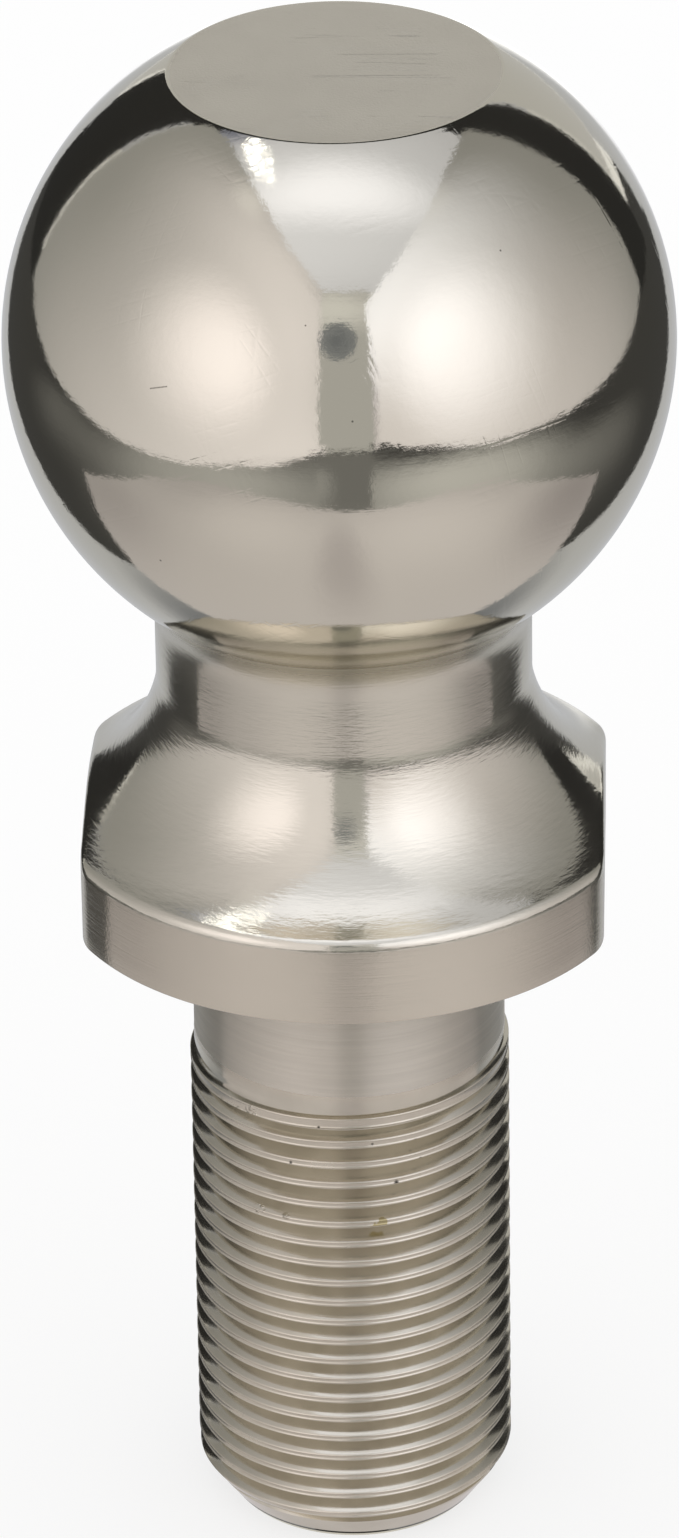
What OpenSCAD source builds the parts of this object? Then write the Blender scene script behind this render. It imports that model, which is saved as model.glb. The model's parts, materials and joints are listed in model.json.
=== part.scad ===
// Tow ball with a threaded shank, turned and polished from one steel forging.
// Millimetres. Z runs up the turning axis and z = 0 is the seat under the flange.
// The two wrench flats on the flange face +X and -X.

/* [Ball] */
// Diameter of the ball that the coupler closes on
ball_d = 50.8; // [47.6:0.1:60.3]
// Height of the ball's centre above the seat
ball_height = 46.5; // [42:0.5:60]
// Diameter of the flat turned on top of the ball
top_flat_d = 25; // [12:0.5:32]

/* [Neck and shoulder] */
// Diameter of the neck under the ball
neck_d = 28.9; // [24:0.1:32]
// Radius of the hollow blend between ball and neck
neck_blend_r = 3; // [1:0.25:5]
// Radius of the first, tighter part of the flare below the neck
flare_lead_r = 7; // [3:0.5:12]
// Angle that the tighter part of the flare turns through
flare_lead_angle = 13; // [5:1:25]
// Radius of the wide hollow flare that runs out to the rim
flare_r = 14.9; // [13:0.1:18]

/* [Flange] */
// Diameter of the flange
flange_d = 45.8; // [43:0.1:50]
// Height of the flange's upright wall
flange_h = 6.25; // [4:0.25:10]
// Radius of the rounded rim between the wall and the flare
rim_r = 1; // [0.5:0.1:2]
// Radius of the small rounding at the foot of the wall
seat_edge_r = 0.5; // [0.2:0.1:1]
// Distance across the two wrench flats
across_flats = 40.1; // [38:0.1:42]

/* [Shank] */
// Length of the shank below the seat
shank_length = 55.3; // [45:0.1:90]
// Outside diameter of the threaded part, over the crests
thread_d = 25.1; // [22:0.1:26.9]
// Diameter of the plain part under the seat
plain_d = 24.4; // [21:0.1:26]
// Length of the plain part under the seat
plain_length = 13.5; // [5:0.5:25]
// Height over which the plain part widens to the thread
run_out_h = 1; // [0.5:0.1:3]
// Height of the chamfer at the shank's end
end_chamfer_h = 2.7; // [1:0.1:5]
// Diameter of the shank's end face, inside the chamfer
end_face_d = 20.3; // [15:0.1:21]

/* [Finish] */
// Colour of the polished nickel-plated steel
steel_colour = [0.66, 0.64, 0.60]; // [0:0.01:1]
// Number of sides drawn for a full circle
sides = 128; // [64:16:160]

/* [Hidden] */
// Extra length that lets one cut or body run past another
over = 1;
// How far two arcs that run into each other overlap, so that no hairline is left between them
meet = 0.0002;

ball_r = ball_d / 2;
neck_r = neck_d / 2;
flange_r = flange_d / 2;
flat_x = across_flats / 2;
thread_r = thread_d / 2;
plain_r = plain_d / 2;
end_face_r = end_face_d / 2;
top_flat_z = ball_height + sqrt(pow(ball_r, 2) - pow(top_flat_d / 2, 2));

// Hollow blend between ball and neck: its centre and where it meets each of them
blend_x = neck_r + neck_blend_r;
blend_drop = sqrt(pow(ball_r + neck_blend_r, 2) - pow(blend_x, 2));
blend_z = ball_height - blend_drop;
blend_on_ball = ball_r / (ball_r + neck_blend_r);

// Flare: a tight arc off the neck, then a wide arc that meets the rim's rounding
rim_x = flange_r - rim_r;
flare_x = neck_r + flare_lead_r + (flare_r - flare_lead_r) * cos(flare_lead_angle);
flare_reach = flare_x - rim_x;
flare_z = flange_h + sqrt(pow(flare_r + rim_r - meet, 2) - pow(flare_reach, 2));
lead_x = neck_r + flare_lead_r;
lead_z = flare_z - (flare_r - flare_lead_r) * sin(flare_lead_angle);
flare_end_angle = acos(flare_reach / (flare_r + rim_r));

$fn = sides;

// A wedge that opens inward and downward from a point, between two angles below the level
module wedge(x, z, from_angle, to_angle) {
    polygon([
        [x, z],
        [x - ball_d * cos(from_angle), z - ball_d * sin(from_angle)],
        [x - ball_d * cos(to_angle), z - ball_d * sin(to_angle)]
    ]);
}

// Half section of the ball with its turned flat
module ball_section() {
    difference() {
        translate([0, ball_height])
            circle(r = ball_r);
        translate([-ball_d, top_flat_z])
            square([2 * ball_d, ball_r]);
        translate([-ball_d, ball_height - ball_d])
            square([ball_d, 2 * ball_d]);
    }
}

// Half section of the neck and of its hollow blend into the ball
module neck_section() {
    translate([0, over])
        square([neck_r, ball_height - over]);
    difference() {
        polygon([
            [0, blend_z],
            [blend_x, blend_z],
            [blend_x * blend_on_ball, ball_height - blend_drop * blend_on_ball],
            [0, ball_height]
        ]);
        translate([blend_x, blend_z])
            circle(r = neck_blend_r + meet);
    }
}

// Half section of the flare between the neck and the rim
module flare_section() {
    difference() {
        polygon([
            [0, over],
            [rim_x, over],
            [rim_x, flange_h],
            [(rim_x + flare_x) / 2, (flange_h + flare_z) / 2],
            [lead_x - over, lead_z],
            [0, lead_z]
        ]);
        intersection() {
            translate([flare_x, flare_z])
                circle(r = flare_r);
            wedge(flare_x, flare_z, flare_lead_angle, flare_end_angle + over);
        }
        intersection() {
            translate([lead_x, lead_z])
                circle(r = flare_lead_r + meet);
            wedge(lead_x, lead_z, -over, flare_lead_angle + over);
        }
    }
}

// Half section of the flange wall, with its rounded rim and foot
module flange_section() {
    translate([0, seat_edge_r])
        square([flange_r, flange_h - seat_edge_r]);
    square([flange_r - seat_edge_r, flange_h / 2]);
    translate([flange_r - seat_edge_r, seat_edge_r])
        circle(r = seat_edge_r);
    translate([rim_x, flange_h])
        circle(r = rim_r);
}

// Half section of the shank: plain part, run-out, thread at its full diameter, end chamfer
module shank_section() {
    polygon([
        [0, -shank_length],
        [end_face_r, -shank_length],
        [thread_r, end_chamfer_h - shank_length],
        [thread_r, -plain_length - run_out_h],
        [plain_r, -plain_length],
        [plain_r, over],
        [0, over]
    ]);
}

// What the spanner's jaws bear on is cut away beyond each flat, up to the top of the flare
module flat_cut() {
    translate([flat_x, -flange_d, -over])
        cube([flange_d, 2 * flange_d, lead_z + over]);
}

// The whole tow ball, one solid piece
module tow_ball() {
    color(steel_colour)
        difference() {
            rotate_extrude()
                union() {
                    ball_section();
                    neck_section();
                    flare_section();
                    flange_section();
                    shank_section();
                }
            flat_cut();
            mirror([1, 0, 0])
                flat_cut();
        }
}

tow_ball();
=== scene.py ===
import json
import math

import bpy
from bpy.props import FloatProperty, FloatVectorProperty, IntProperty, PointerProperty
from mathutils import Matrix, Vector


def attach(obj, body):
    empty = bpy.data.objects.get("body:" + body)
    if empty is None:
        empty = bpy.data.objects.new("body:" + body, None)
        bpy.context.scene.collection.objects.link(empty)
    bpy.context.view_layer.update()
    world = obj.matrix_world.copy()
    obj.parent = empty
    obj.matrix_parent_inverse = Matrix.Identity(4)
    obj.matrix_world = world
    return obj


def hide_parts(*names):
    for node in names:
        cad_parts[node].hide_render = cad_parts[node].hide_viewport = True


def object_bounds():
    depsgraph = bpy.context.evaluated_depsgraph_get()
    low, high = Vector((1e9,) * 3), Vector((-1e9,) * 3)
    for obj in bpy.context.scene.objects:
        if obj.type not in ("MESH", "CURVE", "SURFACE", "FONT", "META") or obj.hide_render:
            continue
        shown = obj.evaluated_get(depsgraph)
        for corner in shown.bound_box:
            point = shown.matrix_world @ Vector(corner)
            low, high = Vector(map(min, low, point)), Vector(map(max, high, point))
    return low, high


bl_info = {
    "name": "Threaded tow ball",
    "version": (1, 0, 0),
    "blender": (4, 5, 0),
    "location": "View3D > Sidebar > Tow ball",
    "description": "Builds a polished tow ball on its threaded shank, and the studio it stands in",
    "category": "Object",
}

NODE = "tow_ball"

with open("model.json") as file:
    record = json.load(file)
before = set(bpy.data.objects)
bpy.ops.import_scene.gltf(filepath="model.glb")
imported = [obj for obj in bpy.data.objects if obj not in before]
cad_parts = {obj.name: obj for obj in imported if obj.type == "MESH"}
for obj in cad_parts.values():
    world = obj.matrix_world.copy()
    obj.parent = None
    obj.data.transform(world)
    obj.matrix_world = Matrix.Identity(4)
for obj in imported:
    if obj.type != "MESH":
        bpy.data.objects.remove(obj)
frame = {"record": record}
cad_low, cad_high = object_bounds()
mounts = {mount["name"]: mount for mount in frame["record"]["mounts"]}
floor_z = cad_low.z


def length(name, default, description):
    """A size in metres that the panel shows."""
    return FloatProperty(name=name, default=default, description=description, unit="LENGTH", precision=5)


def colour(name, default, description):
    """A colour that the panel shows."""
    return FloatVectorProperty(
        name=name, default=default, description=description, subtype="COLOR", size=3, min=0, max=1
    )


class BallSizes(bpy.types.PropertyGroup):
    """Sizes of the turned ball, neck and flange."""

    ball_r: length("Ball radius", 0.0254, "Radius of the ball")
    ball_z: length("Ball height", mounts["ball"]["pos_m"][2], "Height of the ball's centre above the seat")
    top_flat_r: length("Top flat radius", 0.0125, "Radius of the flat turned on top of the ball")
    top_edge: length("Top edge rounding", 0.0006, "Radius of the edge round the top flat")
    neck_r: length("Neck radius", 0.01445, "Radius of the neck under the ball")
    neck_blend: length("Neck blend", 0.005, "Radius of the hollow blend between ball and neck")
    flare_lead: length("Flare lead", 0.007, "Radius of the first, tighter part of the flare")
    flare_lead_angle: FloatProperty(
        name="Flare lead angle",
        default=math.radians(13),
        description="Angle that the tighter part of the flare turns through",
        subtype="ANGLE",
    )
    flare: length("Flare", 0.0149, "Radius of the wide hollow flare")
    flange_r: length("Flange radius", 0.0229, "Radius of the flange")
    flange_h: length("Flange height", 0.00625, "Height of the flange's upright wall")
    rim: length("Rim rounding", 0.001, "Radius between the wall and the flare")
    foot: length("Foot rounding", 0.00015, "Radius at the foot of the wall")
    flat_x: length("Flat distance", 0.02005, "Distance of each wrench flat from the axis")
    flat_edge: length("Flat edge softness", 0.0003, "How far the flare's edges at the flats are polished down")
    corner: length("Corner softness", 0.0008, "How far the wall's corners at the flats are polished down")


class ShankSizes(bpy.types.PropertyGroup):
    """Sizes of the shank and its thread."""

    plain_r: length("Plain radius", 0.0122, "Radius of the plain part under the seat")
    crest_r: length("Crest radius", mounts["thread"]["dims"]["r_mm"] / 1000, "Radius over the thread's crests")
    root_r: length("Root radius", 0.01153, "Radius at the floor of the grooves")
    pitch: length("Pitch", 0.0254 / 14, "Height of one turn of the thread")
    crest_w: length("Crest width", 0.00054, "Width of a crest, with the lip along each of its edges")
    first_extra: length("First crest's extra width", 0.00036, "How much wider the first crest is")
    root_w: length("Root width", 0.0001, "Width of the groove's floor")
    lip: length("Lip height", 0.00006, "How far the lips stand over the middle of the crest")
    end_r: length("End radius", 0.0101, "Radius of the end face inside the chamfer")
    chamfer_h: length("Chamfer height", 0.0035, "Height of the chamfer at the shank's end")
    first_edge: length("First crest", -0.01569, "Height, at the front, of the first crest's lower edge")
    blend_h: length("Plain length", 0.013, "Length under the seat that is plain all the way round")


class Fineness(bpy.types.PropertyGroup):
    """How finely the surface is divided."""

    ball_columns: IntProperty(name="Ball columns", default=180, description="Columns round the ball and neck")
    ball_rings: IntProperty(name="Ball rings", default=64, description="Rings down the ball")
    flat_columns: IntProperty(name="Flat columns", default=112, description="Columns across each wrench flat")
    side_columns: IntProperty(name="Side columns", default=62, description="Columns between the flats, each side")
    flare_rings: IntProperty(name="Flare rings", default=36, description="Rings down the flare")
    thread_columns: IntProperty(name="Thread columns", default=128, description="Columns round the shank")


class Finishes(bpy.types.PropertyGroup):
    """Colours of the metal and of the floor."""

    steel: colour("Steel", (0.66, 0.625, 0.525), "Warm grey of the polished nickel plating")
    satin: colour("Satin steel", (0.70, 0.655, 0.555), "Grey of the plain shank and the top flat")
    wall: colour("Flange wall", (0.66, 0.61, 0.505), "Grey of the flange's wall and of the crests")
    # Painted shade: the grooves are coloured a little darker and browner than the crests, for the shade and dark
    # reflections deep in them.
    groove: colour("Groove", (0.645, 0.605, 0.505), "Browner steel in the thread's grooves")
    pit: colour("Pit", (0.05, 0.045, 0.035), "Dirt in the small nicks")
    stain: colour("Stain", (0.42, 0.36, 0.2), "Yellowish stain on the thread")
    floor: colour("Floor", (0.97, 0.97, 0.97), "Pale floor")


class Camera(bpy.types.PropertyGroup):
    """Where the photograph was taken from, fitted to the ball's outline."""

    distance: length("Distance", 0.59393, "Level distance from the axis to the lens")
    height: length("Height", 0.34417, "Height of the lens above the seat")
    turn: FloatProperty(
        name="Turn", default=0.04, description="Turn of the camera round the ball from square to the flats", subtype="ANGLE"
    )
    pitch: FloatProperty(name="Pitch", default=0.5134, description="Angle that it looks down", subtype="ANGLE")
    yaw: FloatProperty(name="Yaw", default=-0.0008, description="Angle that it looks aside", subtype="ANGLE")
    roll: FloatProperty(name="Roll", default=0.0153, description="Tilt of the picture", subtype="ANGLE")
    lens: FloatProperty(name="Lens", default=206.43, description="Focal length in millimetres on the long side")


class Skin:
    """A surface that is built ring by ring."""

    def __init__(self):
        self.points = []
        self.faces = []
        self.marks = []
        self.mark = 0

    def point(self, x, y, z):
        self.points.append((x, y, z))
        return len(self.points) - 1

    def ring(self, angles, radii, z):
        """One ring; radii is one radius or one for each angle."""
        if not hasattr(radii, "__len__"):
            radii = [radii] * len(angles)
        return [self.point(r * math.cos(a), r * math.sin(a), z) for a, r in zip(angles, radii)]

    def face(self, corners):
        """A face, without corners that fall together."""
        kept = []
        for corner in corners:
            if corner not in kept:
                kept.append(corner)
        if len(kept) > 2:
            self.faces.append(kept)
            self.marks.append(self.mark)

    def band(self, upper, lower):
        """Faces between two rings with as many points."""
        count = len(upper)
        for i in range(count):
            j = (i + 1) % count
            self.face((upper[i], lower[i], lower[j], upper[j]))

    def stitch(self, upper, upper_angles, lower, lower_angles):
        """Faces between two rings whose columns differ. Both start near the same angle."""
        i = j = 0
        many, few = len(upper), len(lower)
        full = 2 * math.pi
        while i < many or j < few:
            next_upper = upper_angles[(i + 1) % many] + full * ((i + 1) // many)
            next_lower = lower_angles[(j + 1) % few] + full * ((j + 1) // few)
            if j >= few or (i < many and next_upper <= next_lower):
                self.face((upper[i % many], lower[j % few], upper[(i + 1) % many]))
                i += 1
            else:
                self.face((upper[i % many], lower[j % few], lower[(j + 1) % few]))
                j += 1

    def fan(self, ring, centre, facing_up):
        """Closes a ring to a point."""
        count = len(ring)
        for i in range(count):
            j = (i + 1) % count
            self.face((centre, ring[i], ring[j]) if facing_up else (centre, ring[j], ring[i]))

    def mesh(self, name):
        mesh = bpy.data.meshes.new(name)
        mesh.from_pydata(self.points, [], self.faces)
        mesh.polygons.foreach_set("material_index", self.marks)
        mesh.polygons.foreach_set("use_smooth", [True] * len(self.faces))
        mesh.validate()
        return mesh


TOP, BALL, FLARE, WALL, SHANK, THREAD = range(6)


def arc(centre_r, centre_z, radius, start, end, steps):
    """Points along an arc of the half section, from one angle to another, without the first."""
    angles = [start + (end - start) * i / steps for i in range(1, steps + 1)]
    return [(centre_r + radius * math.cos(a), centre_z + radius * math.sin(a)) for a in angles]


def even(count, start=0.0, turn=2 * math.pi):
    """Angles spread evenly over a turn."""
    return [start + turn * i / count for i in range(count)]


def soft_min(a, b, width):
    """The smaller of two radii, with the corner between them rounded over a width."""
    near = max(width - abs(a - b), 0.0)
    return min(a, b) - near * near / (4 * width)


def smooth_step(value, low, high):
    """0 below low, 1 above high and smooth between them."""
    t = min(max((value - low) / (high - low), 0.0), 1.0)
    return t * t * (3 - 2 * t)


def flange_angles(sizes, fine):
    """Columns round the flange: close together across the two flats, wider between them."""
    half = math.acos(sizes.flat_x / sizes.flange_r) + math.radians(5)
    angles = []
    for side in (0, math.pi):
        across = even(fine.flat_columns, side - half, 2 * half)
        between = even(fine.side_columns, side + half, math.pi - 2 * half)
        angles += across + between
    return sorted(angle % (2 * math.pi) for angle in angles)


def flat_limit(sizes, angle, z):
    """Radius at which the wrench flat cuts this angle, or a far one past the flat."""
    across = abs(math.cos(angle))
    if across < 0.3:
        return 1.0
    low = max(sizes.foot - z, 0.0)
    worn = sizes.foot - math.sqrt(max(sizes.foot ** 2 - low ** 2, 0.0))
    return (sizes.flat_x - worn) / across


def build_ball(skin, sizes, fine):
    """Top flat, ball and the blend into the neck. Returns its last ring and that ring's angles."""
    angles = even(fine.ball_columns)
    flat_z = sizes.ball_z + math.sqrt(sizes.ball_r ** 2 - sizes.top_flat_r ** 2)
    edge_z = flat_z - sizes.top_edge
    edge_r = math.sqrt((sizes.ball_r - sizes.top_edge) ** 2 - (edge_z - sizes.ball_z) ** 2)
    edge_angle = math.atan2(edge_z - sizes.ball_z, edge_r)
    centre = skin.point(0, 0, flat_z)
    skin.mark = TOP
    rings = [skin.ring(angles, edge_r * share, flat_z) for share in (0.03, 0.1, 0.3, 0.6, 0.85, 1.0)]
    skin.fan(rings[0], centre, True)
    for upper, lower in zip(rings, rings[1:]):
        skin.band(upper, lower)
    blend_r = sizes.neck_r + sizes.neck_blend
    blend_drop = math.sqrt((sizes.ball_r + sizes.neck_blend) ** 2 - blend_r ** 2)
    blend_z = sizes.ball_z - blend_drop
    contact = math.atan2(-blend_drop, blend_r)
    section = arc(edge_r, edge_z, sizes.top_edge, math.pi / 2, edge_angle, 5)
    section += arc(0, sizes.ball_z, sizes.ball_r, edge_angle, contact, fine.ball_rings)
    last = rings[-1]
    skin.mark = BALL
    for r, z in section:
        ring = skin.ring(angles, r, z)
        skin.band(last, ring)
        last = ring
    skin.mark = FLARE
    for r, z in arc(blend_r, blend_z, sizes.neck_blend, contact + math.pi, math.pi, 6):
        ring = skin.ring(angles, r, z)
        skin.band(last, ring)
        last = ring
    return last, angles, blend_z


def build_flange(skin, sizes, fine, last, last_angles, top_z):
    """Neck, flare, rim and wall down to its rounded foot, with the two wrench flats. Returns the foot's last ring, its
    angles and its radii.
    """
    angles = flange_angles(sizes, fine)
    rim_r = sizes.flange_r - sizes.rim
    flare_r = sizes.neck_r + sizes.flare_lead + (sizes.flare - sizes.flare_lead) * math.cos(sizes.flare_lead_angle)
    reach = flare_r - rim_r
    flare_z = sizes.flange_h + math.sqrt((sizes.flare + sizes.rim) ** 2 - reach ** 2)
    lead_r = sizes.neck_r + sizes.flare_lead
    lead_z = flare_z - (sizes.flare - sizes.flare_lead) * math.sin(sizes.flare_lead_angle)
    end_angle = math.acos(reach / (sizes.flare + sizes.rim))
    half_turn = math.pi
    section = [(sizes.neck_r, lead_z)]
    section += arc(lead_r, lead_z, sizes.flare_lead, half_turn, half_turn + sizes.flare_lead_angle, 6)
    section += arc(flare_r, flare_z, sizes.flare, half_turn + sizes.flare_lead_angle, half_turn + end_angle, fine.flare_rings)
    section += arc(rim_r, sizes.flange_h, sizes.rim, end_angle, 0, 8)
    wall_z = [sizes.flange_h + (sizes.foot - sizes.flange_h) * i / 5 for i in range(1, 6)]
    section += [(sizes.flange_r, z) for z in wall_z]
    section += arc(sizes.flange_r - sizes.foot, sizes.foot, sizes.foot, 0, -math.pi / 2, 5)
    middle_z = (top_z + lead_z) / 2
    ring = skin.ring(angles, sizes.neck_r, middle_z)
    skin.mark = FLARE
    near = skin.ring(last_angles, sizes.neck_r, (top_z + middle_z) / 2)
    skin.band(last, near)
    skin.stitch(near, last_angles, ring, angles)
    last = ring
    for r, z in section:
        limits = [flat_limit(sizes, a, z) for a in angles]
        higher = smooth_step(z, sizes.flange_h + 0.001, sizes.flange_h + 0.0033)
        worn = sizes.corner + (sizes.flat_edge - sizes.corner) * higher
        radii = [soft_min(r, limit, worn) for limit in limits]
        ring = skin.ring(angles, radii, z)
        skin.mark = WALL if z < sizes.flange_h else FLARE
        skin.band(last, ring)
        last = ring
    return last, angles, radii


def build_seat(skin, shank, last, angles, radii, shank_angles):
    """The flat seat between the flange's foot and the shank."""
    skin.mark = WALL
    inner = shank.plain_r + 0.0006
    for share in (0.6, 0.25, 0.0):
        ring = skin.ring(angles, [inner + (r - inner) * share for r in radii], 0)
        skin.band(last, ring)
        last = ring
    ring = skin.ring(shank_angles, shank.plain_r, 0)
    skin.stitch(last, angles, ring, shank_angles)
    return ring


def crest_rows(shank, width):
    """Points across a crest: distance under its lower edge, and how far under the lips they lie."""
    lip = shank.lip
    upper = [(-width, 1.4), (-width + 0.00005, 0.3), (-width + 0.00009, 0.0), (-width + 0.00014, 0.4)]
    middle = [(-width + 0.0002, 1.0), (-0.00019, 1.0)]
    lower = [(-0.00014, 0.25), (-0.0001, 0.0), (-0.00005, 0.2), (0.0, 1.2)]
    return [(down, sunk * lip) for down, sunk in upper + middle + lower]


def thread_point(shank, turn, step):
    """Height under the crest's lower edge, and radius, of one row of the thread.

    turn counts turns down the shank from the first crest at the front, and step is the row within it.
    """
    width = shank.crest_w + shank.first_extra * math.exp(-max(turn, 0.0) / 1.2)
    next_width = shank.crest_w + shank.first_extra * math.exp(-max(turn + 1, 0.0) / 1.2)
    crest_r = shank.plain_r + (shank.crest_r - shank.plain_r) * smooth_step(turn, -0.9, -0.1)
    groove_r = shank.plain_r + (shank.root_r - shank.plain_r) * smooth_step(turn + 0.5, -0.6, 1.1)
    crest = crest_rows(shank, width)
    if step < len(crest):
        down, sunk = crest[step]
        fade = smooth_step(turn, -0.9, -0.1)
        return down, crest_r - sunk * fade
    flank = (shank.pitch - next_width - shank.root_w) / 2
    groove = (
        (flank * 0.5, 0.5),
        (flank, 1.0),
        (flank + shank.root_w, 1.0),
        (flank * 1.35 + shank.root_w, 0.65),
        (flank * 1.7 + shank.root_w, 0.3),
    )
    down, share = groove[step - len(crest)]
    return down, crest_r + (groove_r - crest_r) * share


THREAD_ROWS = 15


def build_shank(skin, shank, columns, seat_ring, end_z):
    """Plain shank, right-hand thread and chamfered end."""
    angles = even(columns)
    top_z = -shank.blend_h
    skin.mark = SHANK
    middle = skin.ring(angles, shank.plain_r, top_z / 2)
    top = skin.ring(angles, shank.plain_r, top_z)
    skin.band(seat_ring, middle)
    skin.band(middle, top)
    bottom = skin.ring(angles, shank.end_r, end_z)
    front = 0.75
    above = math.ceil((top_z - shank.first_edge) / shank.pitch) + 1
    below = math.ceil((shank.first_edge - end_z) / shank.pitch) + 1
    chamfer = (shank.crest_r - shank.end_r) / shank.chamfer_h
    made = {}

    def corner(row, column):
        if column == columns:
            row -= THREAD_ROWS
            column = 0
        if row < 0:
            return top[column]
        if (row, column) not in made:
            turn = row // THREAD_ROWS - above - column / columns + front
            down, r = thread_point(shank, turn, row % THREAD_ROWS)
            z = shank.first_edge - shank.pitch * turn - down
            if z >= top_z - 1e-6:
                made[row, column] = top[column]
            elif z <= end_z + 1e-6:
                made[row, column] = bottom[column]
            else:
                r = min(r, shank.end_r + (z - end_z) * chamfer)
                made[row, column] = skin.point(r * math.cos(angles[column]), r * math.sin(angles[column]), z)
        return made[row, column]

    skin.mark = THREAD
    for row in range((above + below + 2) * THREAD_ROWS):
        for column in range(columns):
            low = row + 1
            side = column + 1
            skin.face((corner(row, column), corner(low, column), corner(low, side), corner(row, side)))
    skin.mark = SHANK
    last = bottom
    for share in (0.8, 0.4):
        ring = skin.ring(angles, shank.end_r * share, end_z)
        skin.band(last, ring)
        last = ring
    skin.fan(last, skin.point(0, 0, end_z), False)


class Finish:
    """A node material, with short ways to add and join its nodes."""

    def __init__(self, name):
        self.material = bpy.data.materials.new(name)
        self.material.use_nodes = True
        self.tree = self.material.node_tree
        self.shader = self.tree.nodes["Principled BSDF"]
        self.place = self.add("ShaderNodeTexCoord").outputs["Object"]

    def add(self, kind, inputs=None, **settings):
        node = self.tree.nodes.new(kind)
        for key, value in settings.items():
            setattr(node, key, value)
        for key, value in (inputs or {}).items():
            self.join(value, node.inputs[key])
        return node

    def join(self, value, socket):
        if isinstance(value, bpy.types.NodeSocket):
            self.tree.links.new(value, socket)
        else:
            socket.default_value = value

    def noise(self, scale, detail=2.0, roughness=0.5, vector=None):
        node = self.add(
            "ShaderNodeTexNoise",
            {"Vector": vector or self.place, "Scale": scale, "Detail": detail, "Roughness": roughness},
        )
        return node.outputs["Fac"]

    def stretched(self, scale):
        """The place on the object, stretched along each axis."""
        return self.add("ShaderNodeVectorMath", {0: self.place, 1: scale}, operation="MULTIPLY").outputs[0]

    def ramp(self, value, low, high, to_low=0.0, to_high=1.0):
        node = self.add(
            "ShaderNodeMapRange",
            {"Value": value, "From Min": low, "From Max": high, "To Min": to_low, "To Max": to_high},
        )
        return node.outputs["Result"]

    def sums(self, a, b, operation="ADD"):
        return self.add("ShaderNodeMath", {0: a, 1: b}, operation=operation).outputs[0]

    def tint(self, fac, dark, light):
        node = self.add("ShaderNodeMix", {0: fac}, data_type="RGBA")
        for value, socket in ((dark, node.inputs[6]), (light, node.inputs[7])):
            self.join(value if isinstance(value, bpy.types.NodeSocket) else (*value, 1), socket)
        return node.outputs[2]

    def bump(self, height, distance, strength=1.0):
        node = self.add("ShaderNodeBump", {"Height": height, "Distance": distance, "Strength": strength})
        return node.outputs["Normal"]

    def near(self, place, radius):
        """1 at a place on the object, and 0 past a radius from it."""
        away = self.add("ShaderNodeVectorMath", {0: self.place, 1: place}, operation="DISTANCE").outputs["Value"]
        return self.ramp(away, radius, radius * 0.3)

    def any_near(self, places):
        """The largest of the marks at several places."""
        most = None
        for place, radius in places:
            mark = self.near(place, radius)
            most = mark if most is None else self.sums(most, mark, "MAXIMUM")
        return most

    def scratches(self, turn, spacing, thin, share):
        """Long fine scratches that cross the object in one direction, broken up along their way."""
        turned = self.add("ShaderNodeVectorRotate", {"Vector": self.place, "Rotation": turn}, rotation_type="EULER_XYZ")
        drawn = self.add("ShaderNodeVectorMath", {0: turned.outputs[0], 1: (30, 30, spacing)}, operation="MULTIPLY")
        lines = self.noise(1.0, 0.0, 0.5, drawn.outputs[0])
        off = self.sums(self.sums(lines, 0.5, "SUBTRACT"), 0.0, "ABSOLUTE")
        line = self.ramp(off, 0.0, thin, 1.0, 0.0)
        some = self.ramp(self.noise(130.0, 2.0), share, share + 0.05)
        return self.sums(line, some, "MULTIPLY")

    def metal(self, base, roughness, normal=None):
        self.join(1.0, self.shader.inputs["Metallic"])
        self.join(base, self.shader.inputs["Base Color"])
        self.join(roughness, self.shader.inputs["Roughness"])
        if normal is not None:
            self.join(normal, self.shader.inputs["Normal"])

    def spread(self, amount):
        """Reflections drawn out along the axis, across the turning lines."""
        around = self.add("ShaderNodeTangent", direction_type="RADIAL", axis="Z").outputs[0]
        self.join(around, self.shader.inputs["Tangent"])
        self.join(amount, self.shader.inputs["Anisotropic"])
        self.join(0.25, self.shader.inputs["Anisotropic Rotation"])


def darker(colour_in, share):
    return tuple(c * share for c in colour_in)


def turned_lines(finish, lines_per_metre, wander=30.0):
    """Fine lines round the axis, as a cutting tool leaves them."""
    return finish.noise(1.0, 3.0, 0.6, finish.stretched((wander, wander, lines_per_metre)))


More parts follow.
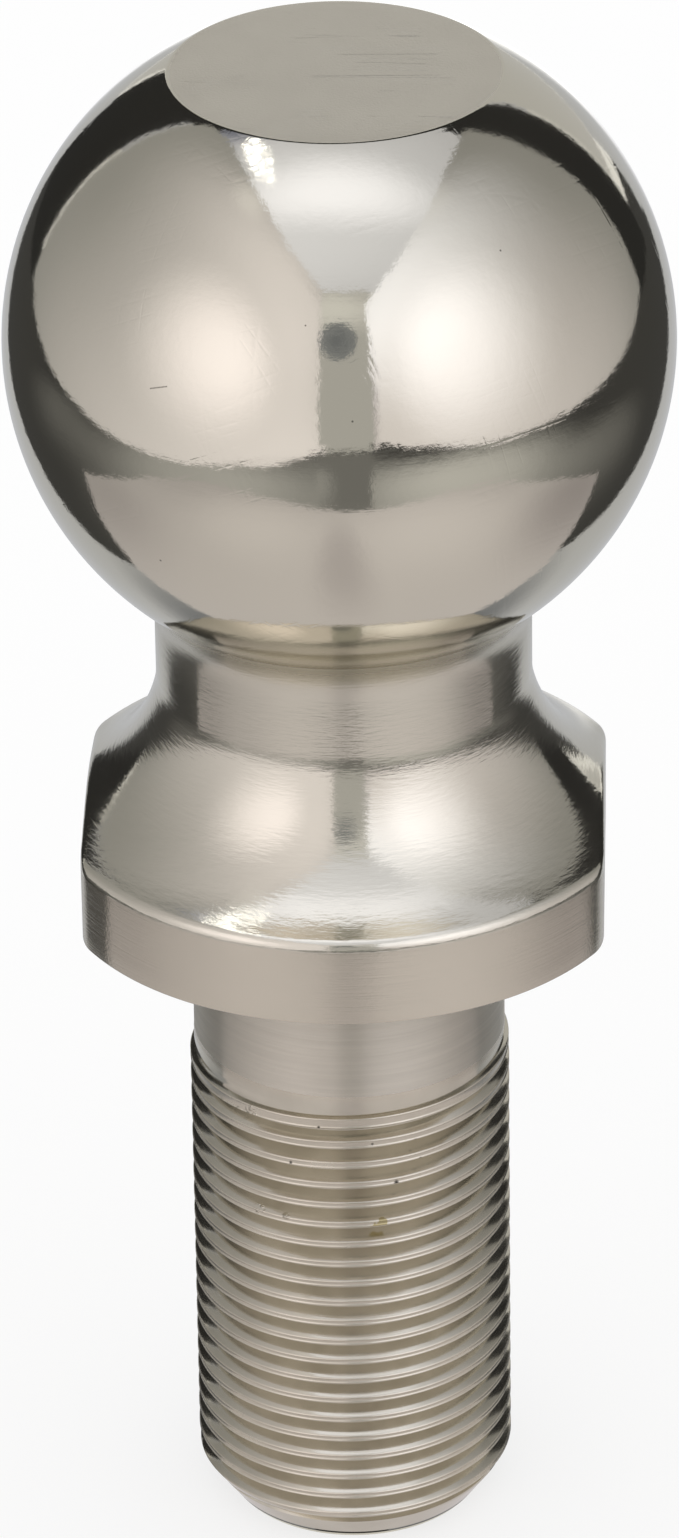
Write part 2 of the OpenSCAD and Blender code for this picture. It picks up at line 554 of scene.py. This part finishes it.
def ball_finish(colours):
    """Mirror polish, with faint buffing haze, wavy grain, thin scratches and a few pits."""
    finish = Finish("ball_polish")
    haze = finish.noise(90.0, 4.0)
    waves = finish.noise(800.0, 2.0)
    grain = finish.noise(2800.0, 3.0, 0.7)
    scratch_from = Vector((-0.01298, -0.02089, 0.05284))
    scratch_to = Vector((-0.01178, -0.02146, 0.05329))
    scratch = tuple((scratch_from.lerp(scratch_to, i / 12), 0.00008) for i in range(13))
    pits = finish.any_near(scratch + (
        ((0.01248, -0.01605, 0.06172), 0.00011),
        ((0.00186, -0.02469, 0.05214), 0.00011),
        ((-0.00154, -0.02224, 0.05867), 0.00009),
        ((-0.01261, -0.02053, 0.03844), 0.00012),
    ))
    worn = finish.sums(
        finish.scratches((0.4, 0.3, 0.0), 800.0, 0.06, 0.52),
        finish.sums(
            finish.scratches((1.9, 0.5, 0.8), 700.0, 0.05, 0.53),
            finish.scratches((1.1, -0.9, 0.3), 900.0, 0.05, 0.54),
            "MAXIMUM",
        ),
        "MAXIMUM",
    )
    base = finish.tint(haze, darker(colours.steel, 0.97), colours.steel)
    base = finish.tint(finish.sums(pits, 0.8, "MULTIPLY"), base, colours.pit)
    level = finish.add("ShaderNodeSeparateXYZ", {0: finish.place}).outputs["Z"]
    roughness = finish.sums(finish.ramp(haze, 0.3, 0.7, 0.04, 0.08), finish.ramp(level, 0.027, 0.031, 0.07, 0.0))
    brushed = finish.noise(1.0, 3.0, 0.6, finish.stretched((70, 70, 2400)))
    rough = finish.sums(waves, finish.sums(grain, 0.45, "MULTIPLY"))
    rough = finish.sums(rough, finish.sums(brushed, 0.4, "MULTIPLY"))
    height = finish.sums(rough, finish.sums(worn, -0.35, "MULTIPLY"))
    finish.metal(base, roughness, finish.bump(height, 0.000008))
    return finish.material


def flare_finish(colours):
    """Polished over fine turning lines, which the neck keeps more of."""
    finish = Finish("flare_polish")
    haze = finish.noise(120.0, 4.0)
    lines = turned_lines(finish, 4200.0, 700.0)
    level = finish.add("ShaderNodeSeparateXYZ", {0: finish.place}).outputs["Z"]
    base = finish.tint(haze, darker(colours.steel, 0.96), colours.steel)
    turned = finish.sums(finish.ramp(level, 0.0205, 0.024, 0.11, 0.21), finish.ramp(level, 0.0245, 0.027, 0.0, 0.1))
    roughness = finish.sums(turned, finish.ramp(haze, 0.3, 0.7, -0.02, 0.03))
    finish.metal(base, roughness, finish.bump(lines, 0.00002))
    finish.spread(0.8)
    return finish.material


def wall_finish(colours):
    """Satin turned wall."""
    finish = Finish("flange_satin")
    haze = finish.noise(150.0, 3.0)
    lines = turned_lines(finish, 6500.0, 90.0)
    grain = finish.noise(3800.0, 2.0)
    base = finish.tint(haze, darker(colours.wall, 0.94), colours.wall)
    roughness = finish.ramp(lines, 0.3, 0.7, 0.16, 0.21)
    height = finish.sums(lines, finish.sums(grain, 0.35, "MULTIPLY"))
    finish.metal(base, roughness, finish.bump(height, 0.00002))
    finish.spread(0.97)
    return finish.material


def top_finish(colours):
    """Fine faced flat, with light scratches."""
    finish = Finish("top_satin")
    haze = finish.noise(220.0, 4.0)
    grain = finish.noise(5200.0, 2.0)
    worn = finish.scratches((1.5708, 0.0, 0.6), 1500.0, 0.015, 0.5)
    base = finish.tint(haze, darker(colours.satin, 0.97), colours.satin)
    roughness = finish.ramp(haze, 0.3, 0.7, 0.3, 0.38)
    height = finish.sums(grain, finish.sums(worn, -0.6, "MULTIPLY"))
    finish.metal(base, roughness, finish.bump(height, 0.00002))
    return finish.material


def shank_finish(colours):
    """Turned plain shank."""
    finish = Finish("shank_satin")
    haze = finish.noise(140.0, 3.0)
    lines = turned_lines(finish, 3600.0, 40.0)
    streaks = finish.noise(1.0, 3.0, 0.7, finish.stretched((55, 55, 1500)))
    base = finish.tint(haze, darker(colours.satin, 0.95), colours.satin)
    base = finish.tint(finish.ramp(streaks, 0.3, 0.7, 0.3, 0.0), base, darker(colours.satin, 0.6))
    roughness = finish.ramp(lines, 0.3, 0.7, 0.34, 0.42)
    finish.metal(base, roughness, finish.bump(lines, 0.00003))
    finish.spread(0.97)
    return finish.material


def thread_finish(colours):
    """Thread cut through the same steel, with painted shade that colours its grooves a little darker and browner, a few
    nicks and a stain.
    """
    finish = Finish("thread_cut")
    haze = finish.noise(260.0, 4.0)
    lines = turned_lines(finish, 5200.0, 60.0)
    across = finish.stretched((1, 1, 0))
    out = finish.add("ShaderNodeVectorMath", {0: across}, operation="LENGTH").outputs["Value"]
    level = finish.add("ShaderNodeSeparateXYZ", {0: finish.place}).outputs["Z"]
    crest = finish.sums(finish.ramp(out, 0.01243, 0.01249), finish.ramp(level, -0.0137, -0.0133), "MAXIMUM")
    ragged = finish.noise(2600.0, 2.0)
    pits = finish.any_near((
        ((-0.00202, -0.01239, -0.01563), 0.00016),
        ((-0.00427, -0.0118, -0.01921), 0.00018),
        ((0.00396, -0.01191, -0.02091), 0.00026),
        ((0.00545, -0.0113, -0.01743), 0.00022),
        ((0.00214, -0.01237, -0.01716), 0.00016),
        ((0.00582, -0.01112, -0.01919), 0.00018),
        ((0.00229, -0.01234, -0.02489), 0.0002),
    ))
    nicked = finish.any_near((
        ((-0.00693, -0.01045, -0.02425), 0.0006),
        ((-0.00475, -0.01162, -0.0242), 0.0004),
        ((-0.00968, -0.00799, -0.01621), 0.0005),
        ((-0.00837, -0.00935, -0.01619), 0.0006),
        ((-0.00739, -0.01014, -0.0156), 0.0006),
    ))
    stained = finish.any_near((
        ((0.00251, -0.0123, -0.0251), 0.0011),
        ((0.00284, -0.01223, -0.0244), 0.0006),
        ((0.00331, -0.01211, -0.0237), 0.0004),
    ))
    stained = finish.ramp(finish.sums(stained, ragged, "MULTIPLY"), 0.2, 0.3)
    rough_nicks = finish.sums(nicked, finish.ramp(ragged, 0.46, 0.56), "MULTIPLY")
    # Painted shade: the grooves take the darker, browner groove colour and the crests the wall's colour.
    base = finish.tint(crest, colours.groove, colours.wall)
    base = finish.tint(finish.ramp(haze, 0.3, 0.7, 0.26, 0.0), base, (0.3, 0.27, 0.2))
    base = finish.tint(stained, base, colours.stain)
    base = finish.tint(pits, base, colours.pit)
    roughness = finish.sums(finish.ramp(haze, 0.3, 0.7, 0.1, 0.16), finish.sums(crest, 0.12, "MULTIPLY"))
    height = finish.sums(finish.sums(lines, 0.4, "MULTIPLY"), finish.sums(rough_nicks, 8.0, "MULTIPLY"))
    finish.metal(base, roughness, finish.bump(height, 0.000012))
    finish.spread(0.85)
    return finish.material


class TOWBALL_OT_ball(bpy.types.Operator):
    """Build the whole tow ball, from its top flat to the threaded shank's end"""

    bl_idname = "towball.ball"
    bl_label = "Tow ball"

    def execute(self, context):
        sizes = context.scene.towball_sizes
        shank = context.scene.towball_shank
        fine = context.scene.towball_fineness
        colours = context.scene.towball_finishes
        skin = Skin()
        ring, angles, neck_z = build_ball(skin, sizes, fine)
        ring, angles, radii = build_flange(skin, sizes, fine, ring, angles, neck_z)
        seat = build_seat(skin, shank, ring, angles, radii, even(fine.thread_columns))
        build_shank(skin, shank, fine.thread_columns, seat, cad_low.z)
        piece = bpy.data.objects.new("polished_tow_ball", skin.mesh("polished_tow_ball"))
        context.scene.collection.objects.link(piece)
        for make in (top_finish, ball_finish, flare_finish, wall_finish, shank_finish, thread_finish):
            piece.data.materials.append(make(colours))
        piece.data.set_sharp_from_angle(angle=math.radians(32))
        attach(piece, "root")
        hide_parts(NODE)
        return {"FINISHED"}


def glow(name, strength, spots=(), tint=(1, 1, 1)):
    """A light card's material: an even glow and soft spots, brighter or, with a negative amount, darker; on the board,
    paper and floor cards these spots are painted light and painted shade.

    Each spot is its centre, its radius, what it adds in its middle, how it is stretched along each axis,
    and its tint.
    """
    material = bpy.data.materials.new(name)
    material.use_nodes = True
    tree = material.node_tree
    tree.nodes.clear()
    output = tree.nodes.new("ShaderNodeOutputMaterial")
    place = tree.nodes.new("ShaderNodeTexCoord").outputs["Object"]
    light = tree.nodes.new("ShaderNodeEmission")
    light.inputs["Color"].default_value = (*tint, 1)
    light.inputs["Strength"].default_value = strength
    total = light.outputs[0]
    for centre, radius, amount, stretch, spot_tint in spots:
        squeeze = [1 / s for s in stretch]
        near = tree.nodes.new("ShaderNodeVectorMath")
        near.operation = "MULTIPLY"
        near.inputs[1].default_value = squeeze
        away = tree.nodes.new("ShaderNodeVectorMath")
        away.operation = "DISTANCE"
        away.inputs[1].default_value = [c * s for c, s in zip(centre, squeeze)]
        fall = tree.nodes.new("ShaderNodeMapRange")
        fall.interpolation_type = "SMOOTHERSTEP"
        fall.inputs["From Max"].default_value = radius
        fall.inputs["To Min"].default_value = amount
        fall.inputs["To Max"].default_value = 0.0
        spot = tree.nodes.new("ShaderNodeEmission")
        spot.inputs["Color"].default_value = (*spot_tint, 1)
        both = tree.nodes.new("ShaderNodeAddShader")
        tree.links.new(place, near.inputs[0])
        tree.links.new(near.outputs[0], away.inputs[0])
        tree.links.new(away.outputs["Value"], fall.inputs["Value"])
        tree.links.new(fall.outputs["Result"], spot.inputs["Strength"])
        tree.links.new(total, both.inputs[0])
        tree.links.new(spot.outputs[0], both.inputs[1])
        total = both.outputs[0]
    tree.links.new(total, output.inputs["Surface"])
    return material


def glints():
    """Jagged bright flecks of a crumpled reflector, clear between them."""
    material = bpy.data.materials.new("glints")
    material.use_nodes = True
    tree = material.node_tree
    tree.nodes.clear()
    place = tree.nodes.new("ShaderNodeTexCoord").outputs["Object"]
    folds = tree.nodes.new("ShaderNodeTexNoise")
    folds.inputs["Scale"].default_value = 62.0
    folds.inputs["Detail"].default_value = 4.0
    fleck = tree.nodes.new("ShaderNodeMapRange")
    fleck.inputs["From Min"].default_value = 0.49
    fleck.inputs["From Max"].default_value = 0.57
    clear = tree.nodes.new("ShaderNodeBsdfTransparent")
    light = tree.nodes.new("ShaderNodeEmission")
    light.inputs["Strength"].default_value = 4.2
    mixed = tree.nodes.new("ShaderNodeMixShader")
    output = tree.nodes.new("ShaderNodeOutputMaterial")
    tree.links.new(place, folds.inputs["Vector"])
    tree.links.new(folds.outputs["Fac"], fleck.inputs["Value"])
    tree.links.new(fleck.outputs["Result"], mixed.inputs[0])
    tree.links.new(clear.outputs[0], mixed.inputs[1])
    tree.links.new(light.outputs[0], mixed.inputs[2])
    tree.links.new(mixed.outputs[0], output.inputs["Surface"])
    return material


def only_in_reflections(card):
    """The card shows in polished metal, and neither lights nor shades the floor."""
    card.visible_camera = False
    card.visible_diffuse = False
    card.visible_shadow = False
    card.visible_volume_scatter = False


def card(name, corners, material):
    """A flat card with the given corners, seen only in reflections."""
    mesh = bpy.data.meshes.new(name)
    mesh.from_pydata(corners, [], [tuple(range(len(corners)))])
    mesh.materials.append(material)
    made = bpy.data.objects.new(name, mesh)
    bpy.context.scene.collection.objects.link(made)
    only_in_reflections(made)
    return made


def on_wall(azimuth, distance, along, height):
    """A place on an upright wall. Azimuth 0 is in front of the ball and grows to its right."""
    x = math.sin(azimuth) * distance + math.cos(azimuth) * along
    y = -math.cos(azimuth) * distance + math.sin(azimuth) * along
    return (x, y, height)


def standing_card(name, azimuth, distance, outline, material):
    """An upright card, whose outline is pairs of distance along it and height."""
    return card(name, [on_wall(azimuth, distance, along, height) for along, height in outline], material)


def oblong(left, right, low, high):
    """Outline of an upright rectangle."""
    return ((left, low), (right, low), (right, high), (left, high))


def lying_card(name, z, outline, material):
    """A level card."""
    return card(name, [(x, y, z) for x, y in outline], material)


def pale_floor(colour_in):
    """A pale floor that keeps the object's shadow, and looks white to the camera and in the metal."""
    material = bpy.data.materials.new("floor_pale")
    material.use_nodes = True
    tree = material.node_tree
    shader = tree.nodes["Principled BSDF"]
    shader.inputs["Base Color"].default_value = (*colour_in, 1)
    shader.inputs["Roughness"].default_value = 1.0
    shader.inputs["Specular IOR Level"].default_value = 0.0
    path = tree.nodes.new("ShaderNodeLightPath")
    seen = None
    for ray in ("Is Camera Ray", "Is Glossy Ray", "Is Transmission Ray"):
        if seen is None:
            seen = path.outputs[ray]
            continue
        either = tree.nodes.new("ShaderNodeMath")
        either.operation = "MAXIMUM"
        tree.links.new(seen, either.inputs[0])
        tree.links.new(path.outputs[ray], either.inputs[1])
        seen = either.outputs[0]
    share = tree.nodes.new("ShaderNodeMath")
    share.operation = "MULTIPLY"
    share.inputs[1].default_value = 0.7
    white = tree.nodes.new("ShaderNodeEmission")
    mixed = tree.nodes.new("ShaderNodeMixShader")
    tree.links.new(seen, share.inputs[0])
    tree.links.new(share.outputs[0], mixed.inputs[0])
    tree.links.new(shader.outputs[0], mixed.inputs[1])
    tree.links.new(white.outputs[0], mixed.inputs[2])
    tree.links.new(mixed.outputs[0], tree.nodes["Material Output"].inputs["Surface"])
    return material


class TOWBALL_OT_stage(bpy.types.Operator):
    """Build the pale floor, the light boxes and cards that the metal mirrors, and the camera"""

    bl_idname = "towball.stage"
    bl_label = "Studio and camera"

    def execute(self, context):
        scene = context.scene
        colours = scene.towball_finishes
        self.make_floor(scene, colours)
        self.make_cards()
        self.make_world(scene)
        self.make_camera(scene, scene.towball_camera)
        scene.view_settings.view_transform = "Standard"
        return {"FINISHED"}

    def make_floor(self, scene, colours):
        reach = 6.0
        mesh = bpy.data.meshes.new("floor")
        corners = ((-reach, -reach), (reach, -reach), (reach, reach), (-reach, reach))
        mesh.from_pydata([(x, y, floor_z) for x, y in corners], [], [(0, 1, 2, 3)])
        mesh.materials.append(pale_floor(colours.floor))
        floor = bpy.data.objects.new("floor", mesh)
        scene.collection.objects.link(floor)

    def make_cards(self):
        plain = (1, 1, 1)
        warm = (1.07, 1, 1.08)
        cool = (0.98, 1, 1.15)
        side = math.radians(70)
        near = 0.26
        floor_card = floor_z + 0.0006
        roof = 0.66

        def left_spot(along, height, radius, amount, stretch, tint):
            return (on_wall(-side, near, along, height), radius, amount, (1, 1, stretch), tint)

        def right_spot(along, height, radius, amount, stretch, tint):
            return (on_wall(side, near, along, height), radius, amount, (1, 1, stretch), tint)

        left = glow("left_box", 0.377, (
            left_spot(0.153, 0.134, 0.225, 0.534, 0.856, warm),
            left_spot(0.379, -0.094, 0.899, 0.657, 0.603, warm),
            left_spot(0.369, 0.399, 0.848, 0.585, 0.528, warm),
            left_spot(0.02, 0.54, 0.13, 0.2, 1.0, plain),
        ))
        right = glow("right_box", 0.343, (
            right_spot(-0.139, 0.134, 0.236, 0.563, 0.961, cool),
            right_spot(-0.248, -0.05, 0.78, 0.57, 0.655, warm),
            right_spot(-0.377, 0.36, 0.772, 1.027, 0.524, cool),
            right_spot(-0.41, 0.1, 0.05, -0.35, 6.0, plain),
            right_spot(0.0, 0.5, 0.14, 0.12, 1.0, plain),
        ))
        standing_card("left_light_box", -side, near, (
            (-0.43, -0.02), (-0.3, -0.03), (-0.19, -0.034), (-0.11, -0.037), (-0.05, -0.043), (0.0, -0.047),
            (0.05, -0.051), (0.13, -0.057), (0.22, -0.063), (0.6, -0.09),
            (0.62, 0.57), (0.52, 0.601), (0.27, 0.56), (0.055, 0.592), (-0.14, 0.624), (-0.43, 0.652),
        ), left)
        standing_card("right_light_box", side, near, (
            (-0.4, -0.05), (-0.37, -0.025), (-0.27, -0.026), (-0.2, -0.023), (-0.09, -0.024), (0.01, -0.021),
            (0.2, -0.025), (0.4, -0.02), (0.4, 0.62), (0.125, 0.529), (-0.08, 0.449), (-0.242, 0.421), (-0.4, 0.407),
        ), right)
        lying_card("left_box_foot", floor_card + 0.0006, (
            (-0.194, -0.207), (-0.157, -0.277), (-0.128, -0.3), (-0.104, -0.345), (-0.077, -0.419), (-0.049, -0.492),
            (-0.024, -0.53), (-0.024, -0.61), (-0.06, -0.596),
        ), left)
        ceiling = glow("ceiling", 0.65, (
            ((0.01, -0.149, roof), 0.567, 0.486, (1, 0.4, 1), cool),
            ((-0.305, -0.323, roof), 1.5, 0.359, (1, 0.582, 1), cool),
            ((-0.3, 0.24, roof), 0.2, -0.5, (1, 1, 1), plain),
        ), tint=(0.98, 1, 1.1))
        lying_card("ceiling", roof, ((-1.2, -1.2), (1.2, -1.2), (1.2, 1.2), (-1.2, 1.2)), ceiling)
        lying_card("glints", roof - 0.004, (
            (-0.29, 0.11), (-0.24, 0.16), (-0.2, 0.05), (-0.2, -0.12), (-0.265, -0.04),
        ), glints())
        far = 0.62
        gap = glow("front", 0.55, (((0, -far, 0.5), 0.17, 0.3, (2, 1, 1), plain),))
        standing_card("front_card", 0, far, oblong(-0.3, 0.3, floor_z, 0.61), gap)
        lying_card("front_foot", floor_card + 0.0003, ((-0.1, -far), (0.12, -far), (0.12, -0.5), (-0.1, -0.52)), gap)
        lens_up = math.radians(25)
        lens_r = 0.051
        middle = Vector((0.012, -0.435, 0.2556))
        across = Vector((1, 0, 0))
        up = Vector((0, math.sin(lens_up), math.cos(lens_up)))
        rim = [middle + (across * math.cos(a) + up * math.sin(a)) * lens_r for a in even(32)]
        card("lens_card", rim, glow("lens", 0.29, ((middle, lens_r, -0.08, (1, 1, 1), plain),), tint=(0.95, 1, 1.08)))
        dark = glow("dark_room", 0.03)
        standing_card("left_dark", math.radians(-146.5), 0.6, oblong(-0.1, 0.175, floor_z, roof), dark)
        standing_card("right_dark", math.radians(134.5), 0.6, oblong(-0.11, 0.09, floor_z, roof), dark)
        lying_card("dark_ceiling", roof - 0.006, ((-0.5, 0.25), (0.5, 0.25), (0.5, 1.1), (-0.5, 1.1)), dark)
        # Painted light on the dark floor card: its brighter spots are painted pools of light, strongest in front to the
        # left and right.
        lying_card("dark_floor", floor_z + 0.0003, ((-1, -1), (1, -1), (1, 1), (-1, 1)), glow("dark_floor", 0.06, (
            ((-0.17, -0.17, floor_z), 0.24, 0.4, (1, 1, 1), plain),
            ((0.17, -0.17, floor_z), 0.24, 0.55, (1, 1, 1), plain),
            ((0, -0.3, floor_z), 0.3, 0.2, (1, 1, 1), plain),
            ((-0.26, 0.04, floor_z), 0.13, 0.09, (1, 1, 1), plain),
            ((0.2, 0.03, floor_z), 0.11, 0.11, (1, 1, 1), plain),
        )))
        lying_card("dark_strip", floor_card - 0.0001, (
            (-0.014, -0.17), (0.037, -0.17), (0.052, -0.244), (0.081, -0.376), (0.1, -0.47),
            (-0.045, -0.47), (-0.04, -0.394), (-0.024, -0.253),
        ), glow("dark_strip", 0.21, (((-0.025, -0.25, floor_z), 0.04, 0.16, (1, 4, 1), plain),)))
        # Painted light and shade on the board card: its brighter spots are painted pools of light, and its darker spots
        # are painted shade, a dark column down its middle and dark patches at each side of its rear edge.
        board = glow("grey_board", 0.46, (
            ((0.02, -0.07, floor_z), 0.28, 0.22, (1, 1, 1), (1.05, 1, 1.03)),
            ((0.08, -0.12, floor_z), 0.11, 0.1, (1, 1, 1), (1.05, 1, 1.05)),
            ((-0.07, -0.13, floor_z), 0.09, 0.1, (1, 1, 1), (1.05, 1, 1)),
            ((0.004, -0.09, floor_z), 0.026, -0.15, (1, 3.6, 1), plain),
            ((-0.13, -0.01, floor_z), 0.08, -0.1, (1, 1, 1), plain),
            ((0.13, 0.0, floor_z), 0.085, -0.2, (1, 1, 1), plain),
        ), tint=(1.045, 1, 1.03))
        lying_card("board", floor_card, (
            (-0.164, 0.012), (-0.178, -0.092), (-0.164, -0.15), (-0.139, -0.182), (-0.059, -0.189), (0.005, -0.174),
            (0.065, -0.169), (0.124, -0.161), (0.156, -0.13), (0.165, -0.1), (0.163, -0.027), (0.15, 0.028),
            (0.112, 0.024), (0.075, 0.018), (0.045, 0.006), (0.028, -0.002), (-0.028, -0.004), (-0.045, 0.003),
            (-0.075, 0.012), (-0.115, 0.014),
        ), board)
        # Painted light and shadow on the paper card: a bright painted pool of light far behind the ball, and a painted
        # shadow of the object where the paper meets the board.
        paper = glow("white_paper", 0.57, (
            ((0, 0.42, floor_z), 0.24, 1.5, (0.5, 1, 1), plain),
            ((0, 0.012, floor_z), 0.05, -0.42, (2.4, 1, 1), plain),
        ), tint=(0.98, 1, 1.05))
        lying_card("paper", floor_card - 0.0002, (
            (-0.07, -0.01), (0.07, -0.01), (0.092, 0.045), (0.2, 0.42), (-0.2, 0.42), (-0.118, 0.1), (-0.086, 0.036),
        ), paper)
        standing_card("paper_rise", math.pi, 0.42, oblong(-0.22, 0.2, floor_z, 0.046), paper)
        wall = glow("back_wall", 0.6)
        standing_card("back_wall", math.pi, 0.62, oblong(-0.45, 0.26, 0.04, roof), wall)

    def make_world(self, scene):
        world = bpy.data.worlds.new("white_studio")
        world.use_nodes = True
        background = world.node_tree.nodes["Background"]
        background.inputs["Color"].default_value = (1, 1, 1, 1)
        background.inputs["Strength"].default_value = 1.0
        world.cycles.sampling_method = "NONE"
        scene.world = world

    def make_camera(self, scene, view):
        data = bpy.data.cameras.new("camera")
        camera = bpy.data.objects.new("camera", data)
        scene.collection.objects.link(camera)
        forward = Vector((
            math.sin(view.yaw) * math.cos(view.pitch),
            math.cos(view.yaw) * math.cos(view.pitch),
            -math.sin(view.pitch),
        ))
        level = Vector((math.cos(view.yaw), -math.sin(view.yaw), 0))
        down = forward.cross(level)
        right = math.cos(view.roll) * level + math.sin(view.roll) * down
        below = -math.sin(view.roll) * level + math.cos(view.roll) * down
        basis = Matrix((right, -below, -forward)).transposed().to_4x4()
        basis.translation = Vector((0, -view.distance, view.height))
        camera.matrix_world = Matrix.Rotation(view.turn, 4, "Z") @ basis
        data.lens = view.lens
        data.sensor_width = 36.0
        data.clip_start = 0.01
        data.clip_end = 50.0
        scene.camera = camera


class TOWBALL_PT_panel(bpy.types.Panel):
    """Sizes, colours and buttons of the tow ball"""

    bl_idname = "TOWBALL_PT_panel"
    bl_label = "Threaded tow ball"
    bl_space_type = "VIEW_3D"
    bl_region_type = "UI"
    bl_category = "Tow ball"

    def draw(self, context):
        for operator in OPERATORS:
            self.layout.operator(operator.bl_idname)
        for name in GROUPS:
            group = getattr(context.scene, name)
            box = self.layout.box()
            for key in group.__annotations__:
                box.prop(group, key)


OPERATORS = (TOWBALL_OT_ball, TOWBALL_OT_stage)
GROUPS = {
    "towball_sizes": BallSizes,
    "towball_shank": ShankSizes,
    "towball_fineness": Fineness,
    "towball_finishes": Finishes,
    "towball_camera": Camera,
}


def register():
    for kind in (*GROUPS.values(), *OPERATORS, TOWBALL_PT_panel):
        bpy.utils.register_class(kind)
    for name, kind in GROUPS.items():
        setattr(bpy.types.Scene, name, PointerProperty(type=kind))


def unregister():
    for name in GROUPS:
        delattr(bpy.types.Scene, name)
    for kind in (TOWBALL_PT_panel, *reversed(OPERATORS), *reversed(GROUPS.values())):
        bpy.utils.unregister_class(kind)


def main():
    register()
    bpy.ops.towball.ball()
    bpy.ops.towball.stage()


if __name__ == "__main__":
    main()
